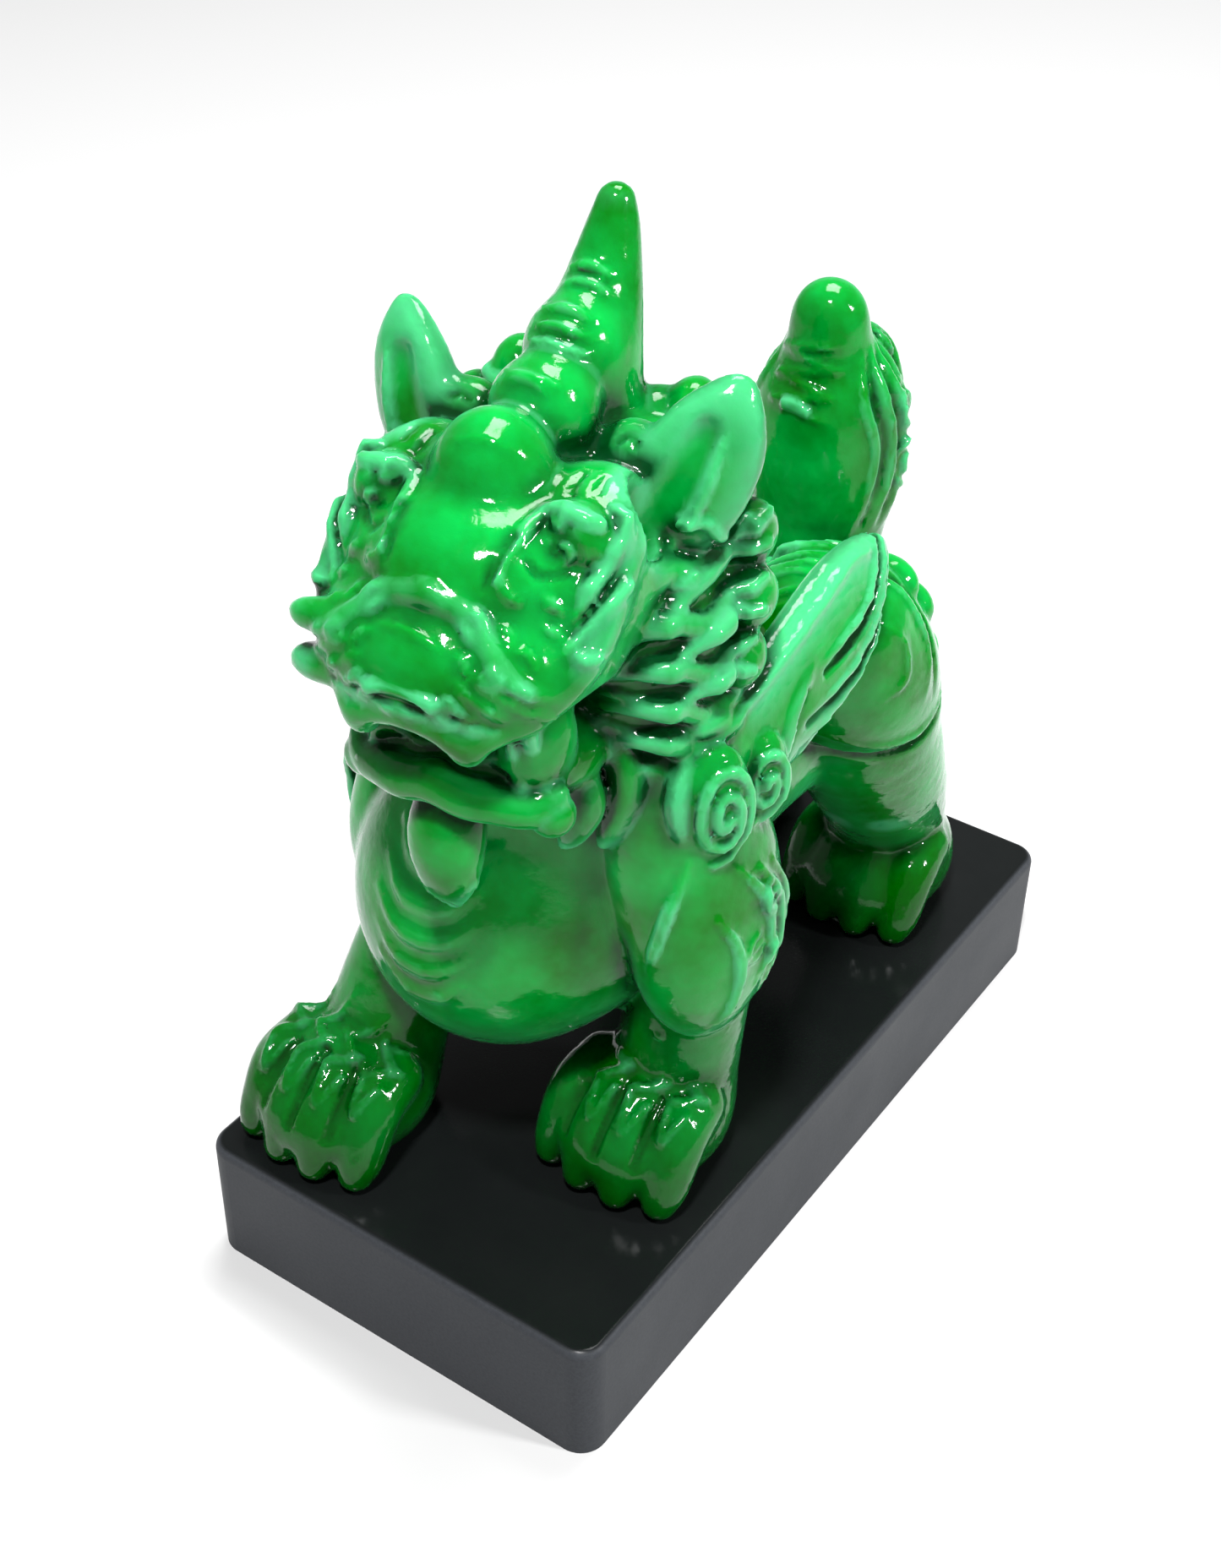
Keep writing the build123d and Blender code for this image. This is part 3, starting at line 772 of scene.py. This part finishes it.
def jade_resin():
    """Glossy translucent green resin: deep where thick, paler where thin as painted light through
    thin parts, and dark in its folds and near the block as painted shade.
    """
    material, shader, node, join = new_material("green_resin_look")
    where = node("ShaderNodeTexCoord").outputs["Object"]
    cloud = node("ShaderNodeTexNoise", Scale=70.0, Detail=4.0, Roughness=0.6)
    join(where, cloud.inputs["Vector"])
    enclosed = node("ShaderNodeAttribute", attribute_name="enclosed").outputs["Fac"]
    thin = node("ShaderNodeAttribute", attribute_name="thin").outputs["Fac"]
    facing_for_sheen = node("ShaderNodeLayerWeight", Blend=0.4).outputs["Facing"]
    # Clouded body colour. Paler where thin, which is painted light through thin parts, and at
    # glancing edges, which is painted sheen that follows the viewer, so it slides from view to view
    # and an exported model loses it. Darkened in its folds, which is painted shade.
    cloudy = ranged(node, join, cloud.outputs["Fac"], 0.35, 0.7)
    milky = ranged(node, join, thin, 0.45, 1.1, to_high=0.75)
    painted_edge_sheen = ranged(node, join, facing_for_sheen, 0.45, 0.95, to_high=0.55)
    # Folds darkened towards the fold green: painted shade
    fold_shade = ranged(node, join, enclosed, 0.06, 0.58, to_high=0.96)
    body = blend_colour(node, join, cloudy, DEEP_GREEN, MAIN_GREEN)
    lit = blend_colour(node, join, milky, body, PAINTED_GLOW_AND_SHEEN_GREEN)
    edge = blend_colour(node, join, painted_edge_sheen, lit, PAINTED_GLOW_AND_SHEEN_GREEN)
    colour = blend_colour(node, join, fold_shade, edge, FOLD_SHADE_GREEN)
    # Near the block the resin darkens: painted shade low on the figure
    darkens_from, clear_by = sole * MM + 0.002, sole * MM + 0.028
    height = node("ShaderNodeSeparateXYZ")
    join(where, height.inputs["Vector"])
    low_shade = ranged(node, join, height.outputs["Z"], darkens_from, clear_by, 0.9, 0.0)
    colour = blend_colour(node, join, low_shade, colour, LOW_SHADE_GREEN)
    join(colour, shader.inputs["Base Color"])
    set_sockets(shader, {
        "Specular IOR Level": 0.22,
        "Subsurface Weight": 0.6,
        "Subsurface Radius": (0.25, 1.0, 0.4),
        "Subsurface Scale": 0.003,
        "IOR": 1.52,
        "Coat Weight": 0.08,
        "Coat Roughness": 0.03,
    })
    # Fine ripples in the gloss and the surface, over slower waves in the surface
    ripple = node("ShaderNodeTexNoise", Scale=900.0, Detail=3.0, Roughness=0.55)
    join(where, ripple.inputs["Vector"])
    rough = ranged(node, join, ripple.outputs["Fac"], 0.3, 0.7, 0.04, 0.14)
    join(rough, shader.inputs["Roughness"])
    uneven = node("ShaderNodeTexNoise", Scale=260.0, Detail=2.0, Roughness=0.5)
    join(where, uneven.inputs["Vector"])
    swell = node("ShaderNodeBump", Strength=0.35, Distance=0.0006)
    join(uneven.outputs["Fac"], swell.inputs["Height"])
    bump = node("ShaderNodeBump", Strength=0.12, Distance=0.0004)
    join(ripple.outputs["Fac"], bump.inputs["Height"])
    join(swell.outputs["Normal"], bump.inputs["Normal"])
    join(bump.outputs["Normal"], shader.inputs["Normal"])
    return material


def black_block():
    """Black block: polished on top, with a fine-grained satin on its sides; its top coloured darker
    than its sides, painted shade on top and painted reflection of the pale floor on the sides.
    """
    material, shader, node, join = new_material("black_block_look")
    where = node("ShaderNodeTexCoord").outputs["Object"]
    grain = node("ShaderNodeTexNoise", Scale=2600.0, Detail=3.0, Roughness=0.7)
    join(where, grain.inputs["Vector"])
    smear = node("ShaderNodeTexNoise", Scale=45.0, Detail=5.0, Roughness=0.6)
    join(where, smear.inputs["Vector"])
    upward = node("ShaderNodeSeparateXYZ")
    join(node("ShaderNodeNewGeometry").outputs["Normal"], upward.inputs[0])
    top = ranged(node, join, upward.outputs["Z"], 0.75, 0.98)
    # The top is coloured darker than the sides: painted shade on the top, painted reflection of the
    # pale floor on the sides; the grain and smear are the block's own.
    side_grain_and_reflection = blend_colour(node, join, grain.outputs["Fac"], (0.020, 0.022, 0.026),
                               (0.046, 0.050, 0.056))
    top_smear_and_shade = blend_colour(node, join, smear.outputs["Fac"], (0.003, 0.004, 0.004),
                              (0.008, 0.009, 0.009))
    join(blend_colour(node, join, top, side_grain_and_reflection, top_smear_and_shade), shader.inputs["Base Color"])
    side_rough = ranged(node, join, smear.outputs["Fac"], 0.3, 0.7, 0.42, 0.55)
    top_rough = ranged(node, join, smear.outputs["Fac"], 0.3, 0.7, 0.10, 0.2)
    mix = node("ShaderNodeMix")
    join(top, mix.inputs[0])
    join(side_rough, mix.inputs[2])
    join(top_rough, mix.inputs[3])
    join(mix.outputs[0], shader.inputs["Roughness"])
    shader.inputs["Specular IOR Level"].default_value = 0.14
    bump = node("ShaderNodeBump", Strength=0.1, Distance=0.0001)
    join(grain.outputs["Fac"], bump.inputs["Height"])
    join(bump.outputs["Normal"], shader.inputs["Normal"])
    return material


def clear_glue():
    """Clear, slightly milky set adhesive."""
    material, shader, node, join = new_material("clear_adhesive_look")
    where = node("ShaderNodeTexCoord").outputs["Object"]
    cloud = node("ShaderNodeTexNoise", Scale=500.0, Detail=2.0)
    join(where, cloud.inputs["Vector"])
    join(blend_colour(node, join, cloud.outputs["Fac"], (0.55, 0.7, 0.6), (0.85, 0.92, 0.88)),
         shader.inputs["Base Color"])
    join(ranged(node, join, cloud.outputs["Fac"], 0.3, 0.7, 0.05, 0.15), shader.inputs["Roughness"])
    set_sockets(shader, {"Transmission Weight": 0.7, "IOR": 1.45})
    return material


def paint(obj, material):
    """Gives an object one material in place of any it has."""
    obj.data.materials.clear()
    obj.data.materials.append(material)


# ---------------------------------------------------------------- the studio

def lamp(name, place, aim, size, watts):
    """A square white softbox, in metres, facing a point."""
    light = bpy.data.lights.new(name, "AREA")
    light.size, light.energy = size, watts
    box = bpy.data.objects.new(name, light)
    away = Vector(place) - Vector(aim)
    box.matrix_world = Matrix.Translation(place) @ away.to_track_quat("Z", "Y").to_matrix().to_4x4()
    bpy.context.scene.collection.objects.link(box)


def floor():
    """A wide pale sheet under the block."""
    half = 3.0
    mesh = bpy.data.meshes.new("floor")
    mesh.from_pydata([(-half, -half, 0), (half, -half, 0), (half, half, 0), (-half, half, 0)], [],
                     [(0, 1, 2, 3)])
    sheet = bpy.data.objects.new("floor", mesh)
    bpy.context.scene.collection.objects.link(sheet)
    material, shader = new_material("pale_paper")[:2]
    set_sockets(shader, {"Base Color": (0.5, 0.5, 0.5, 1), "Roughness": 0.8})
    mesh.materials.append(material)


def sky():
    """Even, dim surroundings: the resin's gloss shows the lamps and the pale floor, not a sky."""
    world = bpy.data.worlds.new("studio")
    world.use_nodes = True
    set_sockets(world.node_tree.nodes["Background"], {"Color": (1, 1, 1, 1), "Strength": 0.3})
    bpy.context.scene.world = world
    bpy.context.scene.view_settings.view_transform = "Standard"


def camera():
    """At the photograph's angle: from the beast's front left, above, barely rolled."""
    azimuth, elevation, roll = radians(34.444), radians(37.168), radians(0.909)
    distance, across, above = 0.27146, -0.005185, 0.036276
    focal_length = 50.64
    back = Vector((sin(azimuth) * cos(elevation), -cos(azimuth) * cos(elevation), sin(elevation)))
    right = Vector((0, 0, 1)).cross(back).normalized()
    up = back.cross(right)
    right, up = right * cos(roll) + up * sin(roll), up * cos(roll) - right * sin(roll)
    lens = bpy.data.cameras.new("camera")
    lens.sensor_fit, lens.sensor_height, lens.sensor_width = "VERTICAL", 36, 36
    lens.lens = focal_length
    lens.clip_start = 0.01
    eye = bpy.data.objects.new("camera", lens)
    place = back * distance + right * across + up * above
    eye.matrix_world = Matrix.Translation(place) @ Matrix((right, up, back)).transposed().to_4x4()
    bpy.context.scene.collection.objects.link(eye)
    bpy.context.scene.camera = eye


# ---------------------------------------------------------------- the scene

CLAY_CELL = 0.45
MOST_TRIANGLES = 190_000
DEEP_GREEN = (0.0, 0.13, 0.0)
# The low green is painted shade near the block.
LOW_SHADE_GREEN = (0.0, 0.045, 0.0)
MAIN_GREEN = (0.0, 0.33, 0.045)
# The milky green is painted light through thin parts and painted sheen at glancing edges; the fold
# green is painted shade in folds.
PAINTED_GLOW_AND_SHEEN_GREEN = (0.07, 0.45, 0.21)
FOLD_SHADE_GREEN = (0.0, 0.03, 0.004)

beast = make_figure()
paint(beast, jade_resin())
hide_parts("figure")
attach(beast, "root")

paint(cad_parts["base"], black_block())
glue = clear_glue()
for name, node_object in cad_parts.items():
    if name.startswith("adhesive"):
        paint(node_object, glue)

floor()
sky()
lamp("overhead", (-0.1, 0.3, 0.9), (0, 0, 0.05), 0.4, 9)
lamp("key", (0.10, -0.25, 0.65), (0, 0, 0.06), 0.07, 6)
lamp("side", (0.6, 0.15, 0.45), (0, 0, 0.05), 0.09, 4)
camera()
